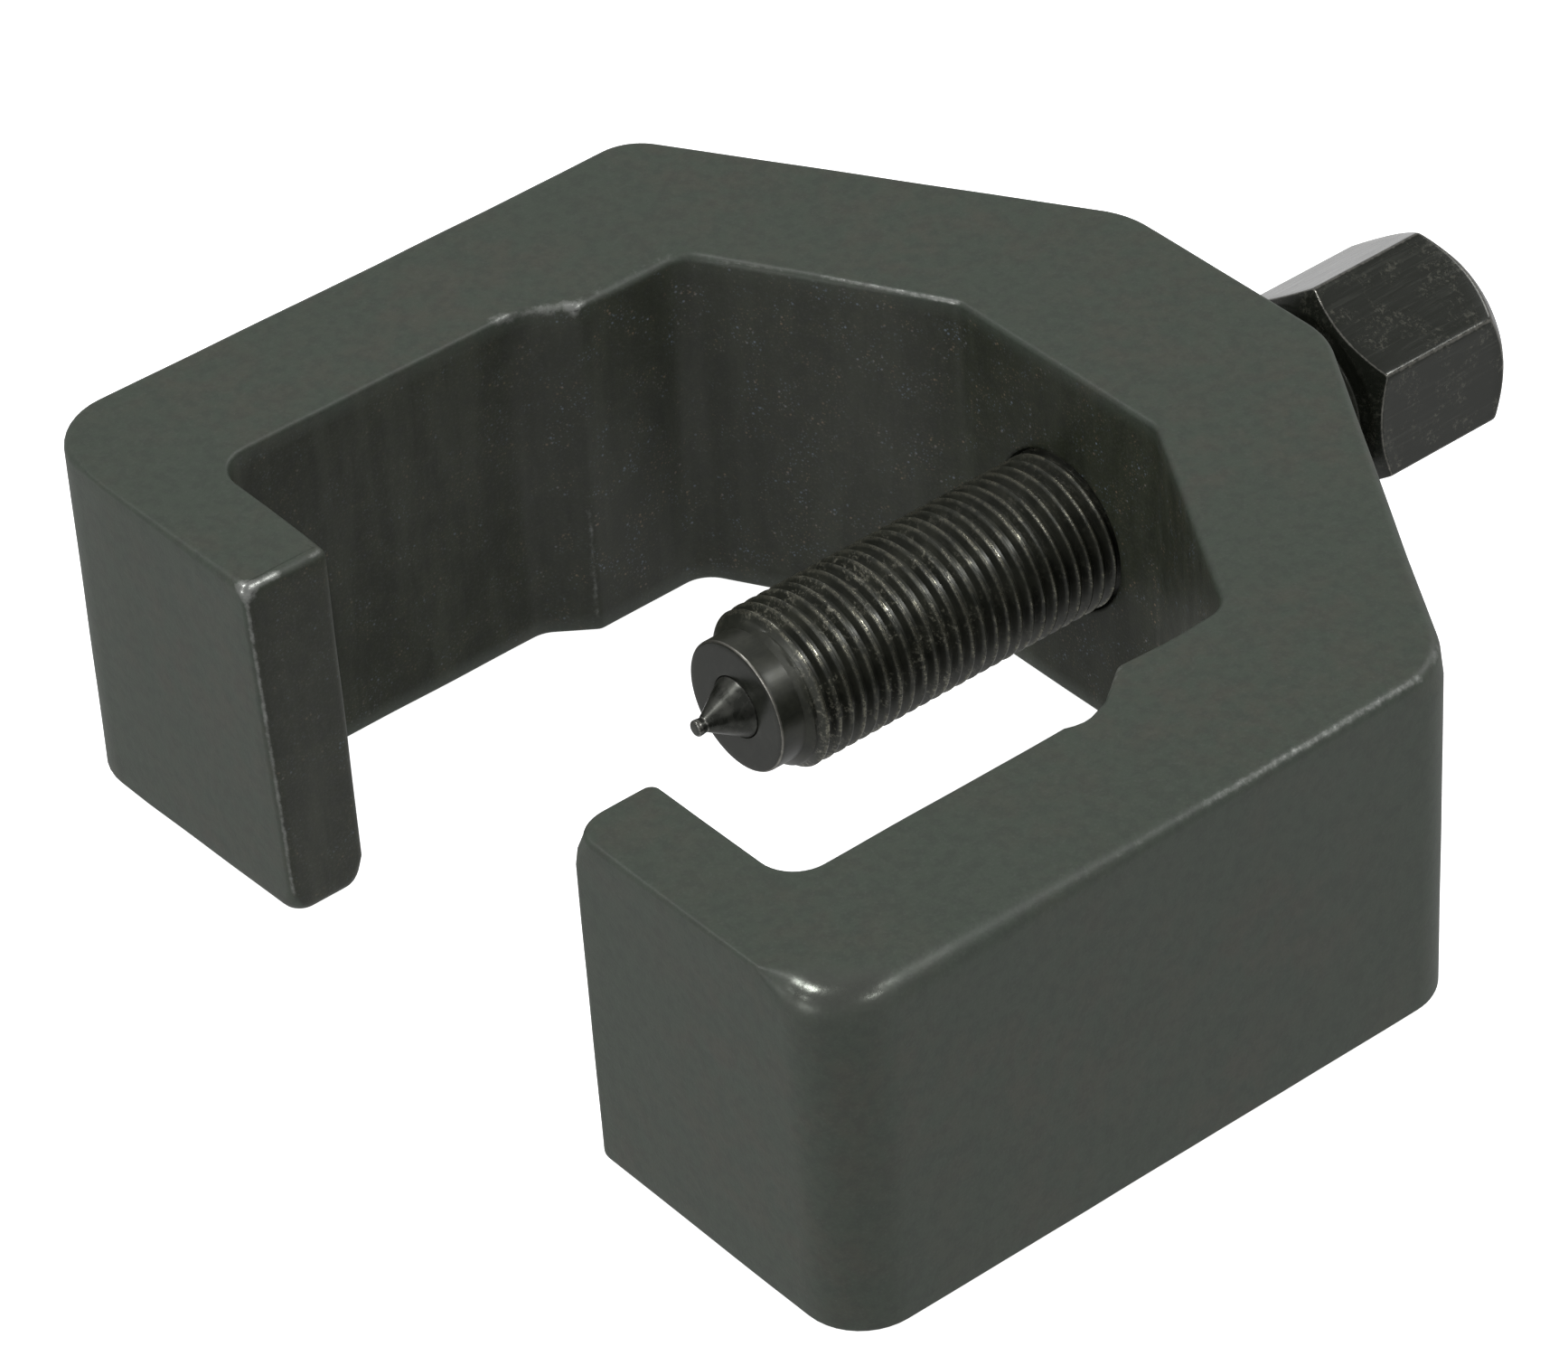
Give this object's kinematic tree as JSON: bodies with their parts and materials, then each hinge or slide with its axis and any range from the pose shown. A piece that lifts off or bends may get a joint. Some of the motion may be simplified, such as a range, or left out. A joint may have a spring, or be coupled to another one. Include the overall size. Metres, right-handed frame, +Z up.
{
  "type": "ball joint separator",
  "caption": "Forged steel jaw frame with a hex-headed forcing screw and a centring pilot point, for pressing a ball joint's stud out of its seat.",
  "frame": {"origin": "middle of the tool's box on the broad bottom face that it lies on", "axes": "+X across the jaws, +Y from the jaws back along the forcing screw to its head, +Z up"},
  "size_m": [0.1106, 0.12, 0.0371],
  "materials": {
    "frame_steel": "matte grey-green phosphate over forged steel",
    "screw_steel": "oiled black oxide",
    "pilot_steel": "hardened, oiled black oxide, polished at the point",
    "ball_steel": "ground bearing steel",
    "ring_steel": "drawn spring wire"
  },
  "bodies": {
    "frame": {"jaw_frame": "frame_steel"},
    "pilot": {"pilot_point": "pilot_steel", "thrust_ball": "ball_steel"},
    "screw": {"forcing_screw": "screw_steel", "retaining_ring": "ring_steel"}
  },
  "joints": [
    {"name": "screw_feed", "type": "slide", "parent": "frame", "child": "pilot", "axis": [0, -1, 0], "range_m": [-0.0381, 0.00986]},
    {"name": "screw_turn", "type": "hinge", "parent": "pilot", "child": "screw", "pos_m": [0, -0.0259, 0.01855], "axis": [0, -1, 0], "range_deg": [-9725, 2520]}
  ],
  "couplings": [
    {"joint": "screw_turn", "follows": "screw_feed", "rad_per_m": 4452.7}
  ]
}
